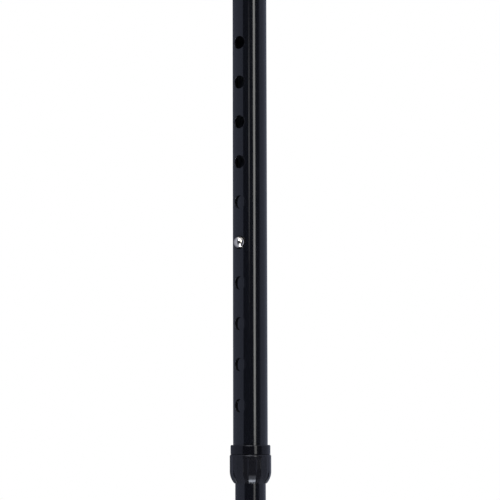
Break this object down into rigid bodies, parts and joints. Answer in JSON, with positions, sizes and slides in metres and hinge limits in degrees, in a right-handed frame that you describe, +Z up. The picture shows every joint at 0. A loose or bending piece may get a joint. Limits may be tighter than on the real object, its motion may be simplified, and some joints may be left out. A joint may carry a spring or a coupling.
{
  "type": "quad walking cane",
  "caption": "Height-adjustable walking cane: offset handle, telescoping shaft with snap button and locking collar, and a low base with spread legs on rubber feet.",
  "frame": {"origin": "middle of the base's footprint, on the floor", "axes": "+Z up along the shaft, +X the way the user walks, and the adjustment holes face -Y"},
  "size_m": [0.206, 0.154, 0.864],
  "materials": {
    "tube_black": "gloss black coating",
    "base_paint": "gloss black powder coat",
    "collar_plastic": "satin moulded",
    "nylon": "natural nylon",
    "grip_rubber": "fine moulded texture",
    "tip_rubber": "matte moulded",
    "chrome": "polished",
    "spring_steel": "blued spring steel",
    "zinc_steel": "zinc plated"
  },
  "bodies": {
    "lower_shaft": {"lower_tube": "tube_black", "guide_bush": "nylon", "button_spring": "spring_steel", "base_socket": "base_paint", "lower_hub_plate": "base_paint", "upper_hub_plate": "base_paint", "front_leg_tube": "base_paint", "rear_leg_tube": "base_paint", "front_left_tip": "tip_rubber", "front_right_tip": "tip_rubber", "rear_left_tip": "tip_rubber", "rear_right_tip": "tip_rubber", "tip_washers": "zinc_steel", "base_bolt": "zinc_steel", "base_nut": "zinc_steel", "base_washers": "zinc_steel"},
    "upper_shaft": {"upper_tube": "tube_black", "tube_ferrule": "collar_plastic", "handle_grip": "grip_rubber"},
    "snap_button": {"lock_button": "chrome"},
    "collar_ring": {"grip_ring": "nylon"},
    "collar_nut": {"lock_nut": "collar_plastic"}
  },
  "joints": [
    {"name": "height_adjust", "type": "slide", "parent": "lower_shaft", "child": "upper_shaft", "axis": [0, 0, 1], "range_m": [-0.127, 0.1016], "deforming": ["lock_button"]},
    {"name": "button_press", "type": "slide", "parent": "lower_shaft", "child": "snap_button", "axis": [0, 1, 0], "range_m": [0, 0.0046], "stiffness_N_per_m": 3000, "springref_m": -0.001, "deforming": ["button_spring"]},
    {"name": "nut_lift", "type": "slide", "parent": "upper_shaft", "child": "collar_ring", "axis": [0, 0, 1], "range_m": [-0.002, 0]},
    {"name": "nut_turn", "type": "hinge", "parent": "collar_ring", "child": "collar_nut", "pos_m": [0, -0.012, 0.311], "axis": [0, 0, 1], "range_deg": [-360, 0]}
  ],
  "couplings": [
    {"joint": "nut_lift", "follows": "nut_turn", "m_per_rad": 0.00031831}
  ]
}
